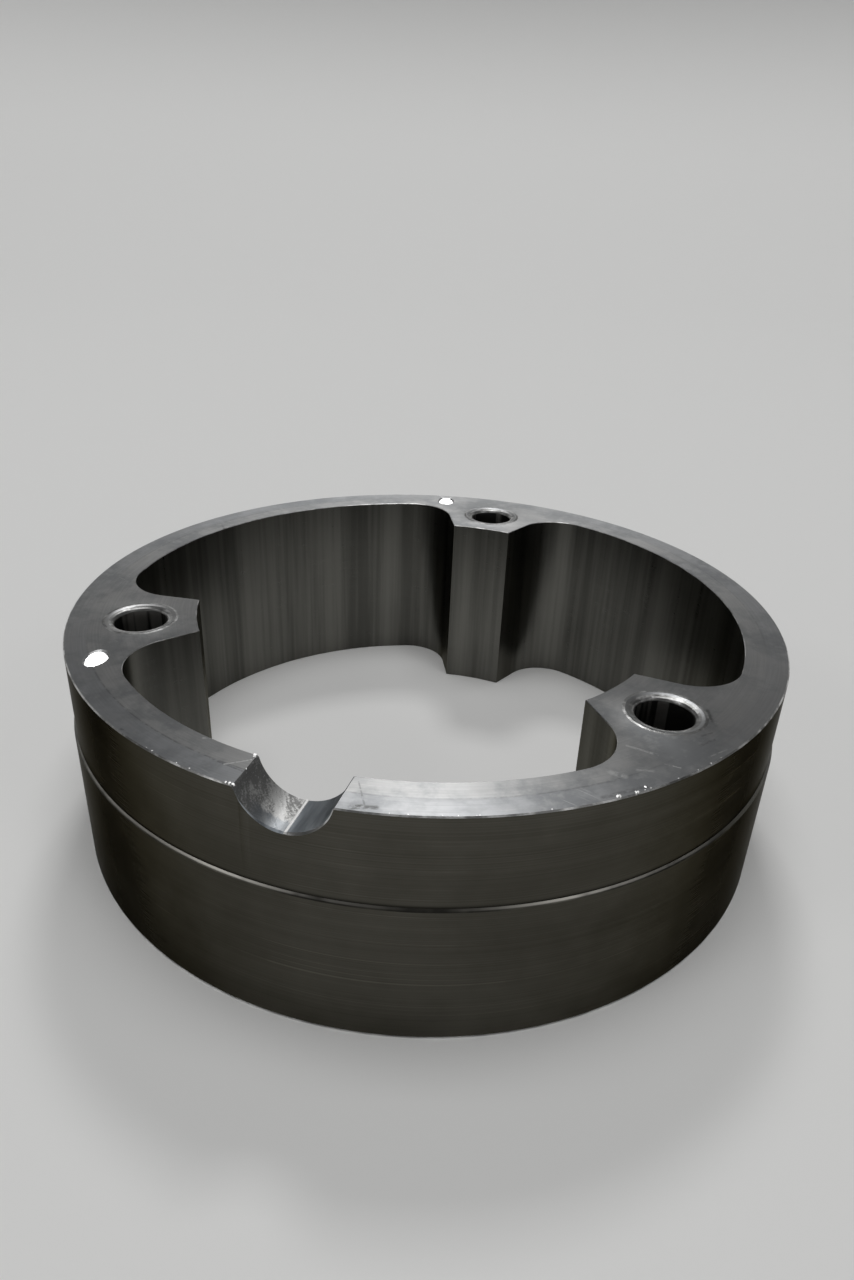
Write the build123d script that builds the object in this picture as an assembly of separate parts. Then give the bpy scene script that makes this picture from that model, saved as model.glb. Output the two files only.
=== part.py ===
from build123d import *
import math
import os

# Turned aluminium ring with three internal screw bosses and a half-round notch in its rim.
# Origin: centre of the bottom face, on the turning axis. +Z runs up the axis to the notched face.
# The notch is on the -Y side, half-way between two bosses. Millimetres and degrees.

# Turned outside, in two bands
register_diameter = 100.0       # upper band, which locates in a mating bore
ledge_width = 0.3               # the lower band stands out by this, with a 45 degree top
total_height = 30.7
register_height = 11.7          # top face down to the step line
rim_edge_break = 0.15           # outer edge of the top face
base_edge_break = 0.3           # outer edge of the bottom face

# Bored and pocketed inside
wall_thickness = 5.6            # register to bore, between the bosses
boss_reach = 11.4               # bore wall in to the turned noses of the bosses
nose_width = 10.0               # across one boss at its nose
flank_lean = 24.0               # each boss side opens by this from the boss's centre line
pocket_corner_radius = 7.0      # left by the cutter where a boss runs into the bore

# Screw holes, one through each boss
boss_count = 3
first_boss_angle = 90.0         # from +X
nose_to_screw = 7.4             # nose surface to the centre of its screw hole
screw_hole_diameter = 7.0
screw_hole_chamfer = 0.5

# Half-round notch across the wall, open at the top face
notch_diameter = 11.0
notch_depth = 4.2               # top face down to the notch's floor
notch_angle = -90.0             # from +X
notch_flare = 0.2               # the cutter's run-out opens the notch by this at the outside
notch_flare_length = 0.45       # measured in from the outside, along the notch

register_radius = register_diameter / 2
body_radius = register_radius + ledge_width
bore_radius = register_radius - wall_thickness
nose_radius = bore_radius - boss_reach
screw_circle_radius = nose_radius + nose_to_screw
step_height = total_height - register_height
boss_angles = [first_boss_angle + 360 / boss_count * n for n in range(boss_count)]
upright = (Align.CENTER, Align.CENTER, Align.MIN)


def turned_blank():
    """Solid of revolution: lower band, 45 degree ledge, upper register and broken outer edges."""
    outline = Polyline(
        (0, 0),
        (body_radius - base_edge_break, 0),
        (body_radius, base_edge_break),
        (body_radius, step_height - ledge_width),
        (register_radius, step_height),
        (register_radius, total_height - rim_edge_break),
        (register_radius - rim_edge_break, total_height),
        (0, total_height),
        close=True,
    )
    return revolve(Plane.XZ * make_face(outline), axis=Axis.Z)


def boss_outline():
    """One boss on +X: a concave turned nose and two sides that open towards the bore."""
    lean = math.tan(math.radians(flank_lean))
    nose_half = nose_width / 2
    nose_reach = math.sqrt(nose_radius**2 - nose_half**2)
    apex = nose_reach - nose_half / lean
    root_half = (register_radius - apex) * lean
    wedge = Polygon((apex, 0), (register_radius, -root_half), (register_radius, root_half), align=None)
    return wedge - Circle(nose_radius)


def inner_space():
    """The bore with the bosses left standing and the cutter's radius in each corner."""
    outline = Rot(0, 0, first_boss_angle) * Circle(bore_radius)
    for angle in boss_angles:
        outline -= Rot(0, 0, angle) * boss_outline()
    half_way = (bore_radius + nose_radius) / 2
    corners = [v for v in outline.vertices() if math.hypot(v.X, v.Y) > half_way]
    return extrude(fillet(corners, pocket_corner_radius), total_height)


def screw_hole():
    """A through hole on the axis, with a chamfer at both mouths."""
    radius = screw_hole_diameter / 2
    mouth = radius + screw_hole_chamfer
    drill = Cylinder(radius, total_height, align=upright)
    drill += Cone(mouth, radius, screw_hole_chamfer, align=upright)
    top = Pos(0, 0, total_height - screw_hole_chamfer)
    return drill + top * Cone(radius, mouth, screw_hole_chamfer, align=upright)


def notch_cutter():
    """A cylinder lying along the notch's angle, from the axis out past the wall, and its flared mouth."""
    radius = notch_diameter / 2
    cutter = Cylinder(radius, 2 * register_radius, align=upright)
    mouth = Pos(0, 0, register_radius - notch_flare_length)
    cutter += mouth * Cone(radius, radius + notch_flare, notch_flare_length, align=upright)
    axis_height = total_height - notch_depth + radius
    return Rot(0, 0, notch_angle) * Pos(0, 0, axis_height) * Rot(0, 90, 0) * cutter


def ring():
    body = turned_blank() - inner_space()
    for angle in boss_angles:
        body -= Rot(0, 0, angle) * Pos(screw_circle_radius, 0, 0) * screw_hole()
    return body - notch_cutter()


os.makedirs("parts", exist_ok=True)
ring_body = ring()
export_step(ring_body, "parts/ring_body.step")
print("ring_body volume", round(ring_body.volume, 1))
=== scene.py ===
import bpy
import bmesh
import math
from mathutils import Matrix, Vector


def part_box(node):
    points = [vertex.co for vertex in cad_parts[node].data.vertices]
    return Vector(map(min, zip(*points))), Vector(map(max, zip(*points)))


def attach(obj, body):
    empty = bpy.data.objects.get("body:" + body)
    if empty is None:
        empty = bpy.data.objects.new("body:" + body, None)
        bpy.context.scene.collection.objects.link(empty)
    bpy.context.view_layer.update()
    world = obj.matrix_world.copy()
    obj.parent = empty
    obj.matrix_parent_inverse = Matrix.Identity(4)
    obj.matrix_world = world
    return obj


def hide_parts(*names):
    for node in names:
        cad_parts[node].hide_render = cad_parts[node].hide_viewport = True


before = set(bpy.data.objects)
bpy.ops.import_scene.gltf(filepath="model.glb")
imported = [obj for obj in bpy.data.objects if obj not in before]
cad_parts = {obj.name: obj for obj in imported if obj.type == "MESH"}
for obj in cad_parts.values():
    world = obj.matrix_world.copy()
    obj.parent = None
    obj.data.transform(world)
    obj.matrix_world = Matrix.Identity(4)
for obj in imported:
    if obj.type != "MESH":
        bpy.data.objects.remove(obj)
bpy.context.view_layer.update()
ringLow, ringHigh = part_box("ring_body")
mm = 0.001


def polar(radius, degrees):
    # a place in the plane, anticlockwise from +X
    return Vector((math.cos(math.radians(degrees)), math.sin(math.radians(degrees)))) * radius


class Value:
    # wraps a float socket, so that shader maths reads as plain expressions
    def __init__(self, shader, socket):
        self.shader = shader
        self.socket = socket

    def math(self, operation, *others, clamp=False):
        settings = {"operation": operation, "use_clamp": clamp}
        return self.shader.node("ShaderNodeMath", settings, [self, *others])

    def __add__(self, other):
        return self.math("ADD", other)

    def __radd__(self, other):
        return self.math("ADD", other)

    def __sub__(self, other):
        return self.math("SUBTRACT", other)

    def __rsub__(self, other):
        return self.shader.number(other).math("SUBTRACT", self)

    def __mul__(self, other):
        return self.math("MULTIPLY", other)

    def __rmul__(self, other):
        return self.math("MULTIPLY", other)

    def __truediv__(self, other):
        return self.math("DIVIDE", other)

    def __rtruediv__(self, other):
        return self.shader.number(other).math("DIVIDE", self)

    def __pow__(self, other):
        return self.math("POWER", other)

    def __rpow__(self, other):
        return self.shader.number(other).math("POWER", self)

    def __gt__(self, other):
        return self.math("GREATER_THAN", other)


class Shader:
    # one material's node tree, with one method for every node in it
    def __init__(self, name):
        self.material = bpy.data.materials.new(name)
        self.material.use_nodes = True
        self.tree = self.material.node_tree
        self.surface = self.tree.nodes["Principled BSDF"]

    def node(self, kind, settings=None, inputs=(), output=0):
        made = self.tree.nodes.new(kind)
        for key, value in (settings or {}).items():
            setattr(made, key, value)
        pairs = inputs.items() if isinstance(inputs, dict) else enumerate(inputs)
        for key, value in pairs:
            self.feed(made.inputs[key], value)
        return Value(self, made.outputs[output])

    def feed(self, socket, value):
        if isinstance(value, Value):
            self.tree.links.new(value.socket, socket)
        else:
            socket.default_value = value

    def number(self, value):
        made = self.tree.nodes.new("ShaderNodeValue")
        made.outputs[0].default_value = value
        return Value(self, made.outputs[0])

    def set(self, **sockets):
        for name, value in sockets.items():
            self.feed(self.surface.inputs[name.replace("_", " ")], value)

    def place(self):
        return self.node("ShaderNodeTexCoord", output="Object")

    def split(self, vector):
        parts = self.node("ShaderNodeSeparateXYZ", inputs=[vector])
        return [Value(self, socket) for socket in parts.socket.node.outputs]

    def join(self, x, y, z):
        return self.node("ShaderNodeCombineXYZ", inputs=[x, y, z])

    def noise(self, vector, scale, detail=2.0, rough=0.5):
        return self.node("ShaderNodeTexNoise", {"noise_dimensions": "3D"},
                         {"Vector": vector, "Scale": scale, "Detail": detail, "Roughness": rough})

    def ramp(self, value, low, high):
        return self.node("ShaderNodeMapRange", {"interpolation_type": "SMOOTHSTEP"},
                         {"Value": value, "From Min": low, "From Max": high})

    def fade(self, value, places):
        # from 0 at the first place to 1 at the second, both in mm
        return self.ramp(value, places[0] * mm, places[1] * mm)

    def mix(self, factor, first, second):
        # colours as three numbers or as values
        first, second = ((*tone, 1) if isinstance(tone, tuple) else tone for tone in (first, second))
        sockets = {0: factor, 6: first, 7: second}
        return self.node("ShaderNodeMix", {"data_type": "RGBA"}, sockets, output=2)

    def stroke(self, x, y, start, end, width):
        # 1 on the line between two places given as radius in mm and angle, 0 at width mm from it
        p = polar(start[0] * mm, start[1])
        run = polar(end[0] * mm, end[1]) - p
        step = run / run.length_squared
        share = ((x - p.x) * step.x + (y - p.y) * step.y).math("ADD", 0.0, clamp=True)
        away = (x - p.x - share * run.x) ** 2 + (y - p.y - share * run.y) ** 2
        return self.fade(away ** 0.5, (width, 0.2 * width))

    def near(self, x, y, radius, stretches):
        # full in the middle of each stretch round the axis, 0 at its ends
        most = self.number(0.0)
        for middle, half, strength in stretches:
            way = polar(1, middle)
            share = (x * way.x + y * way.y) / radius
            most = most.math("MAXIMUM", self.ramp(share, math.cos(math.radians(half)), 1.0) * strength)
        return most

    def bump(self, height, strength, distance):
        inputs = {"Strength": strength, "Distance": distance, "Height": height}
        return self.node("ShaderNodeBump", inputs=inputs)


facedFinish = {
    "inside": (0.53, 0.53, 0.525), "outside": (0.47, 0.48, 0.495), "dull": (0.29, 0.30, 0.31),
    "rubbedAndPaintedHighlight": (0.74, 0.74, 0.73), "valley": (0.28, 0.285, 0.29), "stain": (0.10, 0.10, 0.095),
    "scratch": (0.92, 0.92, 0.91),
    "marksPerMm": 5.0, "bandsPerMm": 1.3, "smearsPerMm": 0.45, "rubsPerMm": 1.3, "hairsPerMm": 3.2,
    "patchesPerMm": 0.35, "cloudsPerMm": 0.095, "roughness": 0.42, "anisotropy": 0.5,
    # the seam's radius, its edges, and middle, half length and strength of each stretch where it shows
    "seamRadius": 47.15, "seamEdges": (0.16, 0.04), "outsideEdges": (-0.25, 0.2),
    "seamStretches": ((-109, 44, 1.0), (-58, 22, 0.7), (150, 50, 0.8), (40, 50, 0.6)),
    # stains, then scratches: start and end as radius and angle, half width in mm, strength
    "dark": (
        ((49.44, -81.9), (49.15, -80.9), 0.5, 0.9), ((49.2, -80.6), (49.06, -79.2), 0.45, 0.75),
        ((45.3, -82.2), (47.37, -81.2), 0.13, 0.4), ((47.37, -81.2), (49.23, -80.4), 0.16, 0.45),
        ((47.9, -84.6), (48.9, -83.9), 0.5, 0.35), ((47.22, -56.3), (47.28, -49.4), 0.2, 0.3),
        ((43.66, -24.4), (45.13, -26.8), 0.38, 0.6), ((47.02, -33.7), (47.29, -30.9), 0.25, 0.5),
        ((46.0, -31.5), (46.4, -29.6), 0.2, 0.4), ((47.31, -101.9), (47.52, -96.8), 0.16, 0.45),
        ((49.56, -115.7), (49.39, -114.2), 0.25, 0.5), ((49.3, -52.5), (49.4, -46.5), 0.45, 0.4),
        ((44.2, 160.0), (46.6, 158.0), 0.25, 0.4),
    ),
    "bright": (
        ((47.37, -99.6), (45.43, -97.2), 0.17, 0.9), ((47.24, -41.1), (48.55, -40.0), 0.17, 0.8),
        ((42.66, -42.6), (45.60, -40.4), 0.3, 0.6), ((45.79, -48.8), (47.01, -47.7), 0.6, 0.6),
        ((44.88, -105.9), (44.40, -105.0), 0.25, 0.7), ((48.9, -35.0), (49.3, -31.5), 0.15, 0.4),
        ((46.6, -45.2), (47.6, -43.6), 0.35, 0.4),
    ),
}


def facedAluminium():
    # top and bottom faces: facing marks, a tone change outside the seam, scratches, stains and smears
    look = facedFinish
    s = Shader("facedAluminium")
    x, y = s.split(s.place())[:2]
    radius = (x * x + y * y) ** 0.5
    wayX, wayY = x / radius, y / radius
    fine = s.noise(s.join(wayX * 5, wayY * 5, radius * (look["marksPerMm"] / mm)), 1.0, 2.0, 0.6)
    broad = s.noise(s.join(wayX * 2, wayY * 2, radius * (look["bandsPerMm"] / mm)), 1.0, 3.0, 0.55)
    smear = s.noise(s.join(wayX * 9, wayY * 9, radius * (look["smearsPerMm"] / mm)), 1.0, 4.0, 0.6)
    clouds = s.noise(s.place(), look["cloudsPerMm"] / mm, 5.0, 0.6)
    patches = s.noise(s.place(), look["patchesPerMm"] / mm, 4.0, 0.65)
    along = s.near(x, y, radius, look["seamStretches"])
    pastSeam = radius - look["seamRadius"] * mm
    outer = s.fade(pastSeam + (smear - 0.5) * (0.5 * mm), look["outsideEdges"]) * (0.25 + along * 0.75)
    seam = s.fade(pastSeam.math("ABSOLUTE"), look["seamEdges"]) * along
    rubs = s.noise(s.place(), look["rubsPerMm"] / mm, 4.0, 0.65)
    dark = seam * 0.4
    for start, end, width, strength in look["dark"]:
        dark = dark.math("MAXIMUM", s.stroke(x, y, start, end, width) * strength)
    dark = dark * s.ramp(rubs, 0.34, 0.56)
    bright = s.number(0.0)
    for start, end, width, strength in look["bright"]:
        bright = bright.math("MAXIMUM", s.stroke(x, y, start, end, width) * strength)
    bright = bright * s.ramp(rubs, 0.36, 0.58)
    across, run = x * 0.34 + y * 0.94, x * 0.94 - y * 0.34       # hairs lie along run
    hairs = s.noise(s.join(across, run * 0.05, 0.0), look["hairsPerMm"] / mm, 2.0, 0.5)
    bright = bright.math("MAXIMUM", s.ramp(hairs, 0.66, 0.74) * s.ramp(clouds, 0.46, 0.58) * 0.3)
    tone = s.mix(outer, look["inside"], look["outside"])
    tone = s.mix(s.ramp(clouds * 0.6 + patches * 0.4, 0.43, 0.60) * 0.8, tone, look["dull"])
    tone = s.mix(s.ramp(patches * 0.7 + smear * 0.3, 0.52, 0.64) * 0.3, tone, look["rubbedAndPaintedHighlight"])
    rings = s.ramp(fine * 0.45 + broad * 0.3 + smear * 0.25, 0.40, 0.62)
    tone = s.mix(rings * 0.28, tone, look["valley"])
    tone = s.mix(dark, tone, look["stain"])
    tone = s.mix(bright, tone, look["scratch"])
    s.set(Metallic=1.0, Anisotropic=look["anisotropy"], Anisotropic_Rotation=0.25, Base_Color=tone,
          Roughness=look["roughness"] + (clouds - 0.5) * 0.12 + (fine - 0.5) * 0.1 - bright * 0.06,
          Normal=s.bump(fine * 0.6 + broad * 0.4 - dark * 0.6 + bright * 0.5, 0.35, 0.02 * mm))
    return s.material


# the outside's clean and dull tones and its grazing tint are kept dark as painted shade
turnedFinish = {
    "clean": (0.098, 0.094, 0.080), "dull": (0.060, 0.057, 0.047), "line": (0.20, 0.19, 0.16),
    "paintedStepShade": (0.015, 0.014, 0.012), "grazing": (0.22, 0.21, 0.18), "roughness": 0.34, "anisotropy": 0.5,
    "marksPerMm": 6.0, "bandsPerMm": 0.5, "scoresPerMm": 3.2, "cloudsPerMm": 0.06,
    "paintedStepShadeEdges": (0.5, 0.05),
}


def turnedAluminium():
    # outside bands: fine turning marks that run round the axis, and a band of painted shade just above
    # the step
    look = turnedFinish
    s = Shader("turnedAluminium")
    x, y, z = s.split(s.place())
    fine = s.noise(s.join(x * 2, y * 2, z * (look["marksPerMm"] / mm)), 1.0, 3.0, 0.65)
    bands = s.noise(s.join(x * 3, y * 3, z * (look["bandsPerMm"] / mm)), 1.0, 2.0, 0.5)
    scores = s.noise(s.join(x * 5, y * 5, z * (look["scoresPerMm"] / mm)), 1.0, 2.0, 0.55)
    clouds = s.noise(s.place(), look["cloudsPerMm"] / mm, 4.0, 0.6)
    line = s.ramp(scores, 0.60, 0.72) * s.ramp(clouds, 0.45, 0.62)
    # painted shade: a dark band in the corner just above the step
    aboveStep = z - stepHeight * mm
    paintedStepShade = s.fade(aboveStep, look["paintedStepShadeEdges"]) * (aboveStep > 0.0)
    cleaned = s.ramp(fine * 0.4 + bands * 0.15 + clouds * 0.45, 0.34, 0.66)
    tone = s.mix(cleaned, look["dull"], look["clean"])
    tone = s.mix(line * 0.4, tone, look["line"])
    tone = s.mix(paintedStepShade * 0.8, tone, look["paintedStepShade"])
    s.set(Metallic=1.0, Anisotropic=look["anisotropy"], Anisotropic_Rotation=0.25, Base_Color=tone,
          Specular_Tint=(*look["grazing"], 1),
          Roughness=look["roughness"] + (fine - 0.5) * 0.12 + (clouds - 0.5) * 0.14,
          Normal=s.bump(fine * 0.7 + line * 0.3, 0.2, 0.02 * mm))
    return s.material


# the inside's clean and dull tones and its grazing tint are kept dark as painted shade
boredFinish = {
    "clean": (0.165, 0.163, 0.148), "dull": (0.085, 0.084, 0.076), "grazing": (0.4, 0.39, 0.35),
    "roughness": 0.31, "cutsPerMm": 1.2, "bandsPerMm": 0.22, "ringsPerMm": 3.0,
}


def boredAluminium():
    # bore and boss sides: upright cutter marks, faint rings from boring
    look = boredFinish
    s = Shader("boredAluminium")
    x, y, z = s.split(s.place())
    cuts = s.noise(s.join(x, y, z * 0.03), look["cutsPerMm"] / mm, 2.0, 0.5)
    bands = s.noise(s.join(x, y, z * 0.01), look["bandsPerMm"] / mm, 2.0, 0.5)
    rings = s.noise(s.join(x * 0.05, y * 0.05, z), look["ringsPerMm"] / mm, 2.0)
    tone = s.mix(s.ramp(cuts * 0.3 + bands * 0.7, 0.34, 0.66), look["dull"], look["clean"])
    s.set(Metallic=1.0, Base_Color=tone, Specular_Tint=(*look["grazing"], 1),
          Roughness=look["roughness"] + (rings - 0.5) * 0.12 + (cuts - 0.5) * 0.1,
          Normal=s.bump(cuts * 0.7 + rings * 0.3, 0.3, 0.03 * mm))
    return s.material


edgeFinish = {
    "bright": (0.78, 0.78, 0.77), "worn": (0.26, 0.26, 0.255), "roughness": 0.36,
    "wearPerMm": 0.35, "nicksPerMm": 2.2,
}


def brokenEdge():
    # broken edges and screw hole mouths: bright bare metal with worn stretches
    look = edgeFinish
    s = Shader("brokenEdge")
    wear = s.noise(s.place(), look["wearPerMm"] / mm, 4.0, 0.6)
    nicks = s.noise(s.place(), look["nicksPerMm"] / mm, 3.0, 0.6)
    s.set(Metallic=1.0, Base_Color=s.mix(s.ramp(wear, 0.38, 0.60), look["bright"], look["worn"]),
          Roughness=look["roughness"] + (nicks - 0.5) * 0.25, Normal=s.bump(nicks, 0.4, 0.05 * mm))
    return s.material


stepFinish = {                  # stretches: middle, half length and strength of each stretch with a painted highlight
    "dull": (0.06, 0.058, 0.05), "clean": (0.11, 0.106, 0.09), "rubbedAndPaintedHighlight": (0.62, 0.60, 0.55),
    "stretches": ((-94, 10, 0.8), (-106, 34, 0.75), (-50, 22, 0.8), (120, 60, 0.5)),
    "paintedHighlightEdges": (-0.24, -0.13), "roughness": 0.36, "wearPerMm": 0.16,
}


def stepAluminium():
    # the small step between the bands: dark as painted shade, with a painted highlight along its upper
    # edge in places
    look = stepFinish
    s = Shader("stepAluminium")
    x, y, z = s.split(s.place())
    radius = (x * x + y * y) ** 0.5
    wear = s.noise(s.place(), look["wearPerMm"] / mm, 3.0, 0.6)
    upper = s.fade(z - stepHeight * mm, look["paintedHighlightEdges"])
    # painted highlight along the upper edge, in the stretches where the ledge catches light
    rubbedAndPaintedHighlight = s.near(x, y, radius, look["stretches"]) * upper * s.ramp(wear, 0.26, 0.50)
    tone = s.mix(s.ramp(wear, 0.42, 0.60), look["dull"], look["clean"])
    s.set(Metallic=1.0, Base_Color=s.mix(rubbedAndPaintedHighlight, tone, look["rubbedAndPaintedHighlight"]),
          Roughness=look["roughness"] + (wear - 0.5) * 0.1)
    return s.material


witnessFinish = {
    "bright": (0.98, 0.98, 0.97), "dull": (0.80, 0.80, 0.79), "roughness": 0.5, "rubsPerMm": 1.4,
}


def witnessAluminium():
    # the ridge left between two cuts, and the torn flakes: bright bare metal, which on the ridge is
    # partly a painted highlight of the bright line along the notch
    look = witnessFinish
    s = Shader("witnessAluminium")
    rub = s.noise(s.place(), look["rubsPerMm"] / mm, 3.0)
    s.set(Metallic=1.0, Base_Color=s.mix(rub, look["bright"], look["dull"]),
          Roughness=look["roughness"] + (rub - 0.5) * 0.12)
    return s.material


tornFinish = {                  # filmOut: mm from the axis; filmAlong and shadeAlong: mm along X
    "light": (0.62, 0.62, 0.61), "smudge": (0.16, 0.16, 0.157), "fleck": (0.80, 0.80, 0.79),
    "film": (0.27, 0.29, 0.31), "shade": (0.2, 0.2, 0.2), "roughness": 0.52,
    "patchesPerMm": 0.42, "streaksPerMm": 1.3, "grainPerMm": 5.0, "flecksPerMm": 3.2,
    "filmOut": (48.0, 48.6), "filmAlong": (-4.4, -3.0), "shadeAlong": (-2.6, -4.9),
}


def tornAluminium():
    # left part of the notch: torn, smudged metal, with a smoother film towards the rim
    look = tornFinish
    s = Shader("tornAluminium")
    x, y, z = s.split(s.place())
    radius = (x * x + y * y) ** 0.5
    slant, cross = x * 0.8 + y * 0.6, y * 0.8 - x * 0.6
    patches = s.noise(s.join(slant * 1.1, cross * 0.45, z * 0.5), look["patchesPerMm"] / mm, 3.0, 0.6)
    streaks = s.noise(s.join(slant * 1.8, cross * 0.3, z * 0.6), look["streaksPerMm"] / mm, 4.0, 0.65)
    grain = s.noise(s.place(), look["grainPerMm"] / mm, 3.0, 0.7)
    film = s.fade(radius + (streaks - 0.5) * (1.2 * mm), look["filmOut"]) * s.fade(x, look["filmAlong"])
    shade = s.fade(x + (patches - 0.5) * (2.5 * mm), look["shadeAlong"])
    soiled = s.ramp(patches * 0.4 + streaks * 0.3 + grain * 0.3 + shade * 0.08, 0.47, 0.58)
    flecks = s.noise(s.join(slant, cross * 0.6, z), look["flecksPerMm"] / mm, 3.0, 0.7)
    tone = s.mix(soiled * 0.85, look["light"], look["smudge"])
    tone = s.mix(s.ramp(flecks, 0.58, 0.66) * 0.55, tone, look["fleck"])
    tone = s.mix(shade * 0.35, tone, look["shade"])
    tone = s.mix(film * 0.8, tone, look["film"])
    s.set(Metallic=1.0, Base_Color=tone,
          Roughness=look["roughness"] + (patches - 0.5) * 0.2 + (grain - 0.5) * 0.15 - film * 0.1,
          Normal=s.bump(patches * 0.3 + streaks * 0.4 + grain * 0.3, 0.5, 0.08 * mm))
    return s.material


smoothFinish = {
    "tone": (0.36, 0.39, 0.42), "shade": (0.26, 0.285, 0.31), "speck": (0.75, 0.76, 0.77),
    "roughness": 0.42, "specksPerMm": 2.2, "streaksPerMm": 1.1,
}


def smoothAluminium():
    # right part of the notch: clean cut with a few specks; its dark blue grey is a painted reflection
    # of dark surroundings
    look = smoothFinish
    s = Shader("smoothAluminium")
    x, y, z = s.split(s.place())
    specks = s.ramp(s.noise(s.place(), look["specksPerMm"] / mm, 4.0, 0.7), 0.66, 0.74)
    streaks = s.noise(s.join(x, y * 0.15, z), look["streaksPerMm"] / mm, 3.0, 0.6)
    tone = s.mix(s.ramp(streaks, 0.35, 0.65), look["shade"], look["tone"])
    s.set(Metallic=1.0, Base_Color=s.mix(specks * 0.8, tone, look["speck"]),
          Roughness=look["roughness"] + (streaks - 0.5) * 0.1,
          Normal=s.bump(streaks * 0.6 + specks * 0.4, 0.25, 0.04 * mm))
    return s.material


drilledFinish = {
    "light": (0.42, 0.41, 0.39), "dark": (0.07, 0.07, 0.066), "roughness": 0.42,
    "ringsPerMm": 4.0, "rubsPerMm": 0.55,
}


def drilledAluminium():
    # screw hole walls: drill rings, and upright streaks where chips rubbed, over a dark tone that is
    # painted shade inside the holes
    look = drilledFinish
    s = Shader("drilledAluminium")
    x, y, z = s.split(s.place())
    rings = s.noise(s.join(x * 0.1, y * 0.1, z), look["ringsPerMm"] / mm, 2.0)
    rubs = s.noise(s.join(x, y, z * 0.05), look["rubsPerMm"] / mm, 2.0)
    s.set(Metallic=1.0, Base_Color=s.mix(s.ramp(rubs, 0.50, 0.60), look["dark"], look["light"]),
          Roughness=look["roughness"] + (rings - 0.5) * 0.2, Normal=s.bump(rings, 0.4, 0.04 * mm))
    return s.material


dentedFinish = {
    "bright": (0.97, 0.97, 0.96), "dull": (0.88, 0.88, 0.87), "roughness": 0.34, "rubsPerMm": 1.6,
}


def dentedAluminium():
    # burnished floor of a ding
    look = dentedFinish
    s = Shader("burnishedAluminium")
    rub = s.noise(s.place(), look["rubsPerMm"] / mm, 3.0)
    s.set(Metallic=1.0, Base_Color=s.mix(rub, look["bright"], look["dull"]),
          Roughness=look["roughness"] + rub * 0.06)
    return s.material


ringShape = {                   # mm and degrees; dish: how far out from a hole's mouth, how far down
    "ledge": 0.3, "registerHeight": 11.7, "rimBreak": 0.15, "baseBreak": 0.3, "innerBreak": 0.08,
    "wall": 5.6, "bossReach": 11.4, "noseWidth": 10.0, "flankLean": 24.0, "cornerRadius": 7.0,
    "bossAngles": (90.0, 210.0, 330.0), "noseToScrew": 7.4, "holeRadius": 3.5, "holeChamfer": 0.5,
    "dish": ((0, 0.1), (0.18, 0.055), (0.38, -0.005), (0.54, -0.048), (0.63, -0.058), (0.78, -0.038),
             (0.98, 0)),
    "notchRadius": 5.5, "notchDepth": 4.2, "notchFlare": 0.2, "notchFlareLength": 0.45,
}
dentShape = {                   # longWay in degrees; floor: the shares of a ding's radius with points
    "longWay": -74.2, "floor": (0.3, 0.6, 0.88), "depth": 0.9,
}
dents = (                       # longer: times as long that way; lean: of its floor, towards an angle
    {"reach": 46.4, "angle": -136.6, "radius": 1.5, "longer": 1.5, "lean": 17.0, "towards": -20.4},
    {"reach": 46.7, "angle": 102.6, "radius": 1.5, "longer": 1.35, "lean": 17.0, "towards": -76.4},
)
witnessLine = {                 # a low ridge along the notch, mm; clear: its distance to other points
    "middle": 0.25, "half": 0.18, "lift": 0.05, "clear": 0.25,
}
topFace, outsideWall, innerWall, tornNotch, smoothNotch = range(5)      # places among the finishes
edges, stepBand, dentFloor, holeWall, witness = range(5, 10)
height = (ringHigh.z - ringLow.z) / mm
bodyRadius = ringHigh.x / mm
registerRadius = bodyRadius - ringShape["ledge"]
boreRadius = registerRadius - ringShape["wall"]
noseRadius = boreRadius - ringShape["bossReach"]
screwReach = noseRadius + ringShape["noseToScrew"]
stepHeight = height - ringShape["registerHeight"]
notchTopBreak = ringShape["rimBreak"]
axis = Vector((0, 0))


def arc(centre, radius, start, end, step):
    # points from start to end degrees, either way round, both ends included
    count = max(1, round(abs(end - start) / step))
    return [centre + polar(radius, start + (end - start) * n / count) for n in range(count + 1)]


def circle(radius, count):
    # points all round the axis
    return [polar(radius, 360 * n / count) for n in range(count)]


def bossProfile():
    # one boss on +X, from the bore on its clockwise side to the bore on the other
    lean = math.radians(ringShape["flankLean"])
    corner = ringShape["cornerRadius"]
    noseHalf = ringShape["noseWidth"] / 2
    noseEnd = Vector((math.sqrt(noseRadius ** 2 - noseHalf ** 2), noseHalf))
    along = Vector((math.cos(lean), math.sin(lean)))
    out = Vector((-along.y, along.x))
    offset = noseEnd.dot(out) + corner
    reach = math.sqrt((boreRadius - corner) ** 2 - offset ** 2)
    centre = out * offset + along * reach
    touchFlank = centre - out * corner
    boreAngle = math.degrees(math.atan2(centre.y, centre.x))
    flankAngle = math.degrees(math.atan2(-out.y, -out.x)) % 360
    noseAngle = math.degrees(math.atan2(noseEnd.y, noseEnd.x))
    flank = [noseEnd.lerp(touchFlank, n / 6) for n in range(1, 6)]
    fillet = arc(centre, corner, flankAngle, boreAngle + 360, 3.0)
    upper = flank + fillet
    lower = [Vector((p.x, -p.y)) for p in reversed(upper)]
    return lower + arc(axis, noseRadius, -noseAngle, noseAngle, 1.0) + upper, boreAngle


def turned(points, degrees):
    # points turned about the axis
    spin = Matrix.Rotation(math.radians(degrees), 2)
    return [spin @ p for p in points]


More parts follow.
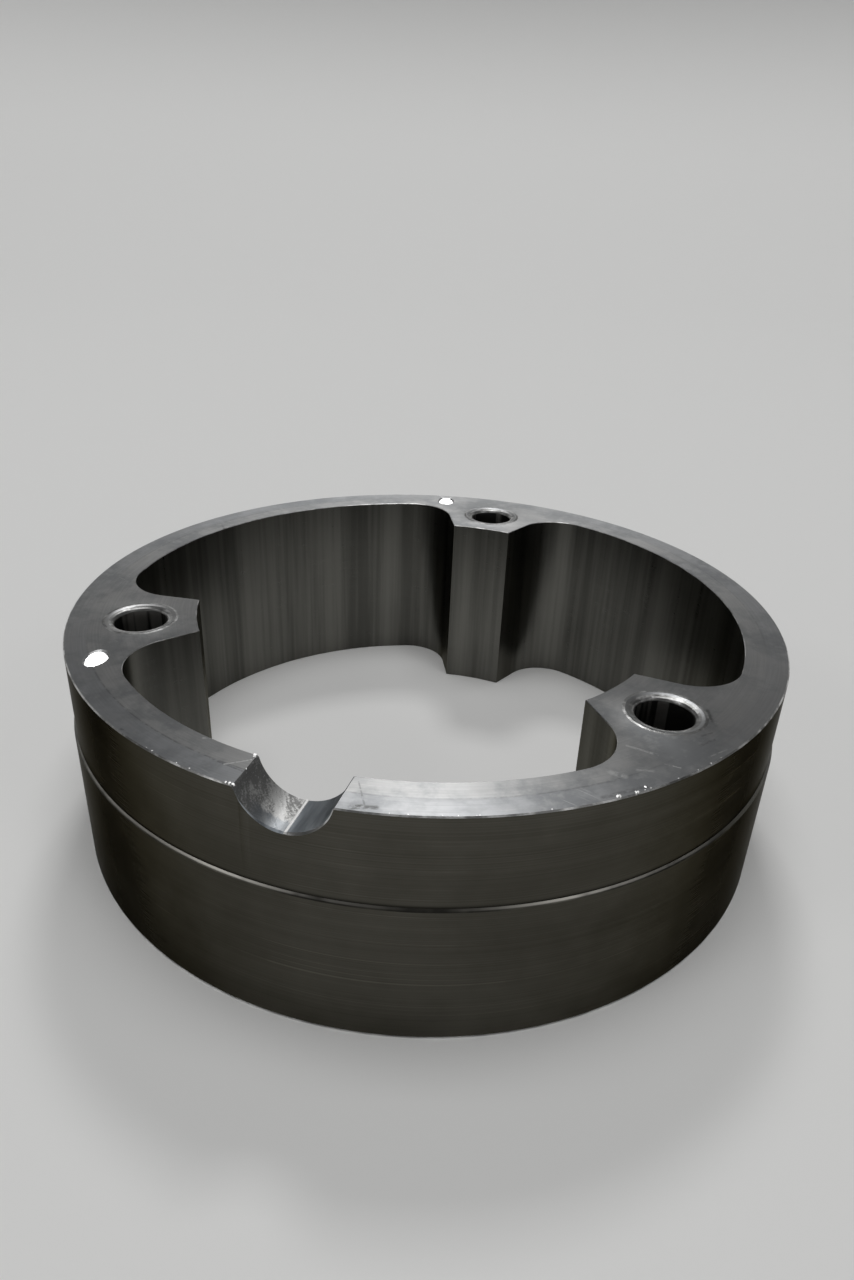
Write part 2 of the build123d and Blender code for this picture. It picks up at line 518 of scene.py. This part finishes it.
def innerOutline():
    # anticlockwise from the notch's right corner round to its left corner
    profile, boreAngle = bossProfile()
    cornerAngle = math.degrees(math.asin((notchHalf + notchTopBreak) / boreRadius))
    points = []
    here = cornerAngle - 90
    for bossAngle in sorted((a + 90) % 360 - 90 for a in ringShape["bossAngles"]):
        points += arc(axis, boreRadius, here, bossAngle - boreAngle, 0.6)[:-1]
        points += turned(profile, bossAngle)[:-1]
        here = bossAngle + boreAngle
    return points + arc(axis, boreRadius, here, 270 - cornerAngle, 0.6)


def grown(points, amount):
    # the inner outline moved into the metal, for its broken edges
    moved = []
    for n, p in enumerate(points):
        before = points[n - 1] if n else p + (p - points[1])
        after = points[n + 1] if n + 1 < len(points) else p + (p - points[n - 1])
        sideA = Vector(((p - before).y, -(p - before).x)).normalized()
        sideB = Vector(((after - p).y, -(after - p).x)).normalized()
        middle = (sideA + sideB).normalized()
        moved.append(p + middle * (amount / max(0.5, middle.dot(sideA))))
    return moved


notchAxis = height - ringShape["notchDepth"] + ringShape["notchRadius"]
notchEnd = notchAxis - (height - notchTopBreak)
notchHalf = math.sqrt(ringShape["notchRadius"] ** 2 - notchEnd ** 2)


def notchSection(u, flare):
    # u from -1 to 1 across the notch; gives the sideways place and the height
    radius = ringShape["notchRadius"] + flare
    angle = math.acos(notchEnd / radius) * u
    return radius * math.sin(angle), notchAxis - radius * math.cos(angle)


def notchRow(outX, outZ, x, z, reach, outer=registerRadius, inner=boreRadius):
    # one row of points along the notch: outside, end of the flare, inside
    return [(outX, -math.sqrt(outer ** 2 - outX ** 2), outZ), (x, -reach, z),
            (x, -math.sqrt(inner ** 2 - x ** 2), z)]


def notchRows():
    # across the notch from right to left
    flare, flareLength = ringShape["notchFlare"], ringShape["notchFlareLength"]
    rows = []
    count = 56
    for n in range(count + 1):
        u = 1 - 2 * n / count
        x, z = notchSection(u, 0)
        if abs(x - witnessLine["middle"]) > witnessLine["clear"]:
            outX, outZ = notchSection(u, flare * (1 - 0.6 * u * u))
            rows.append(notchRow(outX, outZ, x, z, registerRadius - flareLength * (0.62 + 0.3 * u)))
    for share, lift in ((1, 0), (0.7, 0.9), (0, 1), (-0.7, 0.9), (-1, 0)):
        x = witnessLine["middle"] + share * witnessLine["half"]
        z = notchAxis - math.sqrt(ringShape["notchRadius"] ** 2 - x * x) + lift * witnessLine["lift"]
        rows.append(notchRow(x, z - flare, x, z, registerRadius - flareLength * 0.32))
    rows.sort(key=lambda row: -row[1][0])
    rimRadius, inRadius = registerRadius - ringShape["rimBreak"], boreRadius + ringShape["innerBreak"]
    for side in (1, -1):
        edge = rows[0] if side > 0 else rows[-1]
        outX, x = (edge[k][0] + side * notchTopBreak for k in (0, 1))
        top = notchRow(outX, height, x, height, -edge[1][1], rimRadius, inRadius)
        rows.insert(0 if side > 0 else len(rows), top)
    return rows


class Skin:
    # collects faces in millimetres, welds them and returns one mesh object in metres
    def __init__(self):
        self.mesh = bmesh.new()

    def corner(self, p):
        return self.mesh.verts.new(Vector(p) * mm)

    def strip(self, columns, kinds, closed=False):
        # joins neighbouring columns of points, with a material for each row of faces; where one
        # column is longer, triangles end it
        made = [[self.corner(p) for p in column] for column in columns]
        pairs = list(zip(made, made[1:])) + ([(made[-1], made[0])] if closed else [])
        for a, b in pairs:
            shared = min(len(a), len(b))
            faces = [(a[k], b[k], b[k + 1], a[k + 1]) for k in range(shared - 1)]
            faces += [(a[k], b[shared - 1], a[k + 1]) for k in range(shared - 1, len(a) - 1)]
            faces += [(a[shared - 1], b[k], b[k + 1]) for k in range(shared - 1, len(b) - 1)]
            for kind, face in zip(kinds, faces):
                self.mesh.faces.new(face).material_index = kind

    def cap(self, loops, z, material):
        # flat face between the first loop and the holes in it
        border = []
        for loop in loops:
            made = [self.corner((p[0], p[1], z)) for p in loop]
            border += [self.mesh.edges.new(pair) for pair in zip(made, made[1:] + made[:1])]
        filled = bmesh.ops.triangle_fill(self.mesh, use_beauty=True, edges=border, normal=(0, 0, 1))
        for item in filled["geom"]:
            if isinstance(item, bmesh.types.BMFace):
                item.material_index = material

    def fan(self, loop, middle, material):
        # closes a small loop with triangles round its middle
        centre = self.corner(middle)
        made = [self.corner(p) for p in loop]
        for a, b in zip(made, made[1:] + made[:1]):
            self.mesh.faces.new((a, b, centre)).material_index = material

    def finish(self, name, materials, sharpAngle=22.0):
        # welds the corners, smooths all but sharp edges and makes the object
        bmesh.ops.remove_doubles(self.mesh, verts=self.mesh.verts, dist=0.002 * mm)
        bmesh.ops.dissolve_degenerate(self.mesh, edges=self.mesh.edges, dist=0.001 * mm)
        bmesh.ops.recalc_face_normals(self.mesh, faces=self.mesh.faces)
        for face in self.mesh.faces:
            face.smooth = True
        for edge in self.mesh.edges:
            if len(edge.link_faces) == 2:
                edge.smooth = edge.calc_face_angle() < math.radians(sharpAngle)
        loose = sum(1 for edge in self.mesh.edges if len(edge.link_faces) != 2)
        print(name, "faces", len(self.mesh.faces), "open edges", loose)
        data = bpy.data.meshes.new(name)
        self.mesh.to_mesh(data)
        self.mesh.free()
        for material in materials:
            data.materials.append(material)
        piece = bpy.data.objects.new(name, data)
        bpy.context.scene.collection.objects.link(piece)
        return piece


def outsideColumns(rows):
    # round the outside from the notch's right corner to its left, then across under the notch
    rimRadius = registerRadius - ringShape["rimBreak"]
    levels = [(bodyRadius - ringShape["baseBreak"], 0), (bodyRadius, ringShape["baseBreak"]),
              (bodyRadius, stepHeight - ringShape["ledge"]), (registerRadius, stepHeight),
              (registerRadius, height - ringShape["rimBreak"]), (rimRadius, height)]
    start = math.degrees(math.atan2(rows[0][0][1], rows[0][0][0]))
    end = math.degrees(math.atan2(rows[-1][0][1], rows[-1][0][0])) + 360
    columns = []
    for step in arc(axis, 1.0, start, end, 0.5):
        columns.append([(step.x * r, step.y * r, z) for r, z in levels])
    for row in reversed(rows[1:-1]):
        step = Vector(row[0][:2]).normalized()
        columns.append([(step.x * r, step.y * r, z) for r, z in levels[:4]] + [row[0]])
    columns[0][-1], columns[-len(rows[1:-1]) - 1][-1] = rows[0][0], rows[-1][0]
    return columns


def innerColumns(rows, outline):
    # the same way round the inside
    grow = ringShape["innerBreak"]
    columns = []
    for p, w in zip(outline, grown(outline, grow)):
        columns.append([(w.x, w.y, 0), (p.x, p.y, grow), (p.x, p.y, height - notchTopBreak),
                        (p.x, p.y, height - grow), (w.x, w.y, height)])
    columns[0][-1], columns[-1][-1] = rows[0][2], rows[-1][2]
    for row in reversed(rows[1:-1]):
        x, y, z = row[2]
        out = (boreRadius + grow) / boreRadius
        columns.append([(x * out, y * out, 0), (x, y, grow), (x, y, z)])
    return columns


def holeColumns(centre):
    # up through one screw hole, over its chamfers and out over the low ring round its mouth
    chamfer = ringShape["holeChamfer"]
    mouth = ringShape["holeRadius"] + chamfer
    below = [(mouth - p.x, chamfer - p.y) for p in (polar(chamfer, 90 - 15 * n) for n in range(7))]
    above = [(r, height - ringShape["dish"][0][1] - z) for r, z in reversed(below)]
    levels = below + above + [(mouth + r, height - z) for r, z in ringShape["dish"][1:]]
    return [[(centre.x + w.x * r, centre.y + w.y * r, z) for r, z in levels] for w in circle(1.0, 96)]


def dentColumns(dent):
    # out from the floor of one ding to its edge, and the middle of its floor
    centre = polar(dent["reach"], dent["angle"])
    longer = polar(1, dentShape["longWay"])
    slope = polar(math.tan(math.radians(dent["lean"])), dent["towards"])
    deep = dentShape["depth"] * dent["radius"] * dent["longer"] * slope.length
    columns = []
    for w in circle(dent["radius"], 48):
        w = w + longer * ((dent["longer"] - 1) * w.dot(longer))
        floor = [w * share for share in dentShape["floor"]]
        columns.append([(centre.x + f.x, centre.y + f.y, height - deep - slope.dot(f)) for f in floor])
        columns[-1].append((centre.x + w.x, centre.y + w.y, height))
    return columns, (centre.x, centre.y, height - deep)


def ringLook():
    skin = Skin()
    rows = notchRows()
    outline = innerOutline()
    outside = outsideColumns(rows)
    inside = innerColumns(rows, outline)
    skin.strip(outside, [edges, outsideWall, stepBand, outsideWall, edges], closed=True)
    skin.strip(inside, [edges, innerWall, innerWall, edges], closed=True)
    ridge = [n for n, row in enumerate(rows)
             if abs(row[1][0] - witnessLine["middle"]) < witnessLine["clear"]]
    first, last = ridge[0], ridge[-1]
    skin.strip(rows[:first + 1], [edges, smoothNotch])
    skin.strip(rows[first:last + 1], [witness, witness])
    skin.strip(rows[last:], [smoothNotch, tornNotch])
    full = len(outside) - len(rows) + 2
    rim = [c[-1] for c in outside[:full]]
    inner = [c[-1] for c in inside[:len(outline)]]
    topLoops = [rim + [rows[-1][1]] + inner[::-1] + [rows[0][1]]]
    baseLoops = [[c[0] for c in outside], [c[0] for c in inside]]
    for bossAngle in ringShape["bossAngles"]:
        columns = holeColumns(polar(screwReach, bossAngle))
        # both chamfers, the mouth and the far slope of the ring round it are bright
        kinds = [edges] * 6 + [holeWall] + [edges] * 7 + [topFace] * 3 + [edges] * 2
        skin.strip(columns, kinds, closed=True)
        topLoops.append([c[-1] for c in columns])
        baseLoops.append([c[0] for c in columns])
    for dent in dents:
        columns, middle = dentColumns(dent)
        skin.strip(columns, [dentFloor, dentFloor, topFace], closed=True)
        skin.fan([c[0] for c in columns], middle, dentFloor)
        topLoops.append([c[-1] for c in columns])
    skin.cap(topLoops, height, topFace)
    skin.cap(baseLoops, 0, topFace)
    finishes = [facedAluminium(), turnedAluminium(), boredAluminium(), tornAluminium(),
                smoothAluminium(), brokenEdge(), stepAluminium(), dentedAluminium(),
                drilledAluminium(), witnessAluminium()]
    return skin.finish("turnedRing", finishes)


ring = ringLook()
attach(ring, "root")
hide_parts("ring_body")
print("ring done")

burrLook = {                    # mm, lean, jitter and spin in radians; sunk: middle under the top face
    "spacing": 0.3, "long": 0.34, "wide": 0.22, "tall": 0.14, "sunk": 0.05, "sides": 6,
    "topShare": 0.38, "lean": (0.255, 0.062, 0), "jitter": 0.16, "spin": 6.28, "leastSize": 0.6,
    "mostSize": 1.2,
}
burrRuns = (                    # a ragged stretch: its ends as radius and angle, share kept, size
    {"start": (49.65, -50.9), "end": (49.65, -50.6), "share": 1.0, "size": 1.3, "seed": 3},
    {"start": (49.78, -48.4), "end": (49.78, -48.1), "share": 1.0, "size": 1.3, "seed": 11},
    {"start": (49.40, -46.7), "end": (49.75, -46.2), "share": 1.0, "size": 1.1, "seed": 12},
    {"start": (49.75, -53.0), "end": (49.75, -45.0), "share": 0.16, "size": 0.9, "seed": 3},
    {"start": (49.75, -80.0), "end": (49.75, -53.0), "share": 0.09, "size": 0.7, "seed": 8},
    {"start": (49.75, -45.0), "end": (49.75, -22.0), "share": 0.07, "size": 0.7, "seed": 5},
    {"start": (49.80, -97.2), "end": (49.80, -96.2), "share": 1.0, "size": 1.4, "seed": 2},
    {"start": (44.60, -97.3), "end": (44.85, -97.1), "share": 1.0, "size": 1.3, "seed": 14},
    {"start": (49.40, -96.3), "end": (44.90, -96.9), "share": 0.14, "size": 0.7, "seed": 9},
    {"start": (49.75, -112.0), "end": (49.75, -98.0), "share": 0.10, "size": 0.7, "seed": 4},
)


def burrTree():
    # keeps some points of a line and sets a small torn flake on each
    tree = bpy.data.node_groups.new("edgeBurrs", "GeometryNodeTree")
    tree.interface.new_socket("Geometry", in_out="INPUT", socket_type="NodeSocketGeometry")
    for name in ("Spacing", "Long", "Wide", "Tall", "Share"):
        tree.interface.new_socket(name, in_out="INPUT", socket_type="NodeSocketFloat")
    tree.interface.new_socket("Seed", in_out="INPUT", socket_type="NodeSocketInt")
    tree.interface.new_socket("Finish", in_out="INPUT", socket_type="NodeSocketMaterial")
    tree.interface.new_socket("Geometry", in_out="OUTPUT", socket_type="NodeSocketGeometry")

    def node(kind, settings=None, inputs=None):
        made = tree.nodes.new(kind)
        for key, value in (settings or {}).items():
            setattr(made, key, value)
        for key, value in (inputs or {}).items():
            if isinstance(value, bpy.types.NodeSocket):
                tree.links.new(value, made.inputs[key])
            else:
                made.inputs[key].default_value = value
        return made

    given = node("NodeGroupInput").outputs
    path = node("GeometryNodeMeshToCurve", inputs={"Mesh": given["Geometry"]})
    path = node("GeometryNodeResampleCurve", {"mode": "LENGTH"},
                {"Curve": path.outputs[0], "Length": given["Spacing"]})
    chosen = node("FunctionNodeRandomValue", {"data_type": "BOOLEAN"},
                  {"Probability": given["Share"], "Seed": given["Seed"]})
    # a flake is a low six-sided cone without its tip
    flake = node("GeometryNodeMeshCone", {"fill_type": "NGON"},
                 {"Vertices": burrLook["sides"], "Radius Top": burrLook["topShare"],
                  "Radius Bottom": 0.5, "Depth": 1.0})
    tilt, spin = burrLook["jitter"], burrLook["spin"]
    jitter = node("FunctionNodeRandomValue", {"data_type": "FLOAT_VECTOR"},
                  {0: (-tilt, -tilt, 0), 1: (tilt, tilt, spin), "Seed": given["Seed"]})
    turn = node("FunctionNodeRotateRotation", {"rotation_space": "LOCAL"},
                {0: burrLook["lean"], 1: jitter.outputs[0]})
    size = node("FunctionNodeRandomValue", {"data_type": "FLOAT"},
                {2: burrLook["leastSize"], 3: burrLook["mostSize"], "Seed": given["Seed"]})
    shape = node("ShaderNodeCombineXYZ", inputs={0: given["Long"], 1: given["Wide"], 2: given["Tall"]})
    shape = node("ShaderNodeVectorMath", {"operation": "SCALE"},
                 {0: shape.outputs[0], "Scale": size.outputs[1]})
    flakes = node("GeometryNodeInstanceOnPoints", inputs={
        "Points": path.outputs[0], "Selection": chosen.outputs[3], "Instance": flake.outputs["Mesh"],
        "Rotation": turn.outputs[0], "Scale": shape.outputs[0]})
    real = node("GeometryNodeRealizeInstances", inputs={0: flakes.outputs[0]})
    real = node("GeometryNodeSetMaterial",
                inputs={"Geometry": real.outputs[0], "Material": given["Finish"]})
    node("NodeGroupOutput", inputs={0: real.outputs[0]})
    return tree


def burrPiece():
    # one line of points for each ragged stretch, all of them joined into one piece
    tree, finish = burrTree(), witnessAluminium()
    names = {item.name: item.identifier for item in tree.interface.items_tree if item.in_out == "INPUT"}
    joined = bmesh.new()
    for run in burrRuns:
        start, end = Vector(run["start"]), Vector(run["end"])
        count = 24
        places = [start.lerp(end, n / count) for n in range(count + 1)]
        line = [polar(place.x * mm, place.y) for place in places]
        level = (height - burrLook["sunk"]) * mm
        data = bpy.data.meshes.new("burrLine")
        data.from_pydata([(p.x, p.y, level) for p in line], [(n, n + 1) for n in range(count)], [])
        guide = bpy.data.objects.new("burrLine", data)
        bpy.context.scene.collection.objects.link(guide)
        modifier = guide.modifiers.new("burrs", "NODES")
        modifier.node_group = tree
        size = run["size"] * mm
        values = {"Spacing": burrLook["spacing"] * mm, "Long": burrLook["long"] * size,
                  "Wide": burrLook["wide"] * size, "Tall": burrLook["tall"] * size,
                  "Share": run["share"], "Seed": run["seed"], "Finish": finish}
        for name, value in values.items():
            modifier[names[name]] = value
        ready = guide.evaluated_get(bpy.context.evaluated_depsgraph_get())
        made = bpy.data.meshes.new_from_object(ready)
        joined.from_mesh(made)
        bpy.data.objects.remove(guide)
        bpy.data.meshes.remove(made)
    data = bpy.data.meshes.new("edgeBurrs")
    bmesh.ops.recalc_face_normals(joined, faces=joined.faces)
    joined.to_mesh(data)
    joined.free()
    data.materials.append(finish)
    piece = bpy.data.objects.new("edgeBurrs", data)
    bpy.context.scene.collection.objects.link(piece)
    print("edgeBurrs faces", len(data.polygons))
    return piece


burrs = burrPiece()
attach(burrs, "root")
print("burrs done")

stageLook = {                   # metres and degrees
    "flat": 0.7, "bend": 1.1, "sweep": 84, "tone": (0.86, 0.86, 0.85), "far": (0.10, 0.10, 0.10),
    "fade": (0.12, 0.74), "air": (0.5, 0.5, 0.52), "airStrength": 0.06,
    # azimuth anticlockwise from +X, elevation, distance from the ring, width, watts
    "lights": {
        "backSoftbox": (105.8, 56, 3.0, 0.5, 16.5), "ceilingWash": (-74.2, 86, 2.5, 1.6, 28.0),
        "leftFill": (-136, 36, 1.5, 0.3, 0.9), "rightFill": (-27, 38, 1.5, 0.3, 0.7),
    },
}


def paleFloor():
    # flat pale floor that sweeps up gently all round and darkens towards its top
    s = Shader("paleFloor")
    z = s.split(s.place())[2]
    s.set(Base_Color=s.mix(s.ramp(z, *stageLook["fade"]), stageLook["tone"], stageLook["far"]),
          Roughness=0.8, Specular_IOR_Level=0.2)
    flat, bend = stageLook["flat"], stageLook["bend"]
    profile = [(0.02, 0), (flat * 0.5, 0), (flat, 0)]
    sweep = arc(axis, bend, -90, stageLook["sweep"] - 90, 2.5)
    profile += [(flat + p.x, bend + p.y) for p in sweep[1:]]
    skin = Skin()
    columns = [[(w.x * r, w.y * r, z / mm) for r, z in profile] for w in circle(1 / mm, 120)]
    skin.strip(columns, [0] * len(profile), closed=True)
    skin.fan([c[0] for c in columns], (0, 0, 0), 0)
    skin.finish("floor", [s.material], sharpAngle=60)


def softLight(name, azimuth, elevation, distance, width, power):
    # a square soft light that faces the middle of the ring
    target = Vector((0, 0, ringHigh.z / 2))
    elevation = math.radians(elevation)
    data = bpy.data.lights.new(name, "AREA")
    data.size = width
    data.energy = power
    lamp = bpy.data.objects.new(name, data)
    way = polar(math.cos(elevation), azimuth)
    lamp.location = target + distance * Vector((way.x, way.y, math.sin(elevation)))
    lamp.rotation_euler = (target - lamp.location).to_track_quat("-Z", "Y").to_euler()
    bpy.context.scene.collection.objects.link(lamp)


def studio():
    # dim air all round, one key from behind, a wash from above and two weak fills
    world = bpy.data.worlds.new("studioAir")
    world.use_nodes = True
    air = world.node_tree.nodes["Background"]
    air.inputs["Color"].default_value = (*stageLook["air"], 1)
    air.inputs["Strength"].default_value = stageLook["airStrength"]
    bpy.context.scene.world = world
    for name, settings in stageLook["lights"].items():
        softLight(name, *settings)


cameraSettings = {              # measured from the middle of the top face, in metres and degrees
    "distance": 0.12779, "elevation": 24.46, "azimuth": 15.8, "dip": 2.644, "roll": 2.333,
    "lens": 24.49, "sensor": 36.0,
}


def camera():
    # looks at the middle of the top face, then dips and rolls a little
    view = cameraSettings
    elevation = math.radians(view["elevation"])
    spin = Matrix.Rotation(math.radians(view["azimuth"]), 3, "Z")
    place = spin @ Vector((0, -math.cos(elevation), math.sin(elevation))) * view["distance"]
    forward = -place.normalized()
    across = spin @ Vector((1, 0, 0))
    forward.rotate(Matrix.Rotation(math.radians(-view["dip"]), 3, across))
    across.rotate(Matrix.Rotation(math.radians(-view["roll"]), 3, forward))
    up = across.cross(forward)
    data = bpy.data.cameras.new("camera")
    data.sensor_width = view["sensor"]
    data.lens = view["lens"]
    data.clip_start = 0.005
    eye = bpy.data.objects.new("camera", data)
    turn = Matrix((across, up, -forward)).transposed().to_4x4()
    eye.matrix_world = Matrix.Translation(place + Vector((0, 0, ringHigh.z))) @ turn
    bpy.context.scene.collection.objects.link(eye)
    bpy.context.scene.camera = eye


paleFloor()
studio()
camera()
bpy.context.scene.view_settings.view_transform = "Standard"
print("stage done")
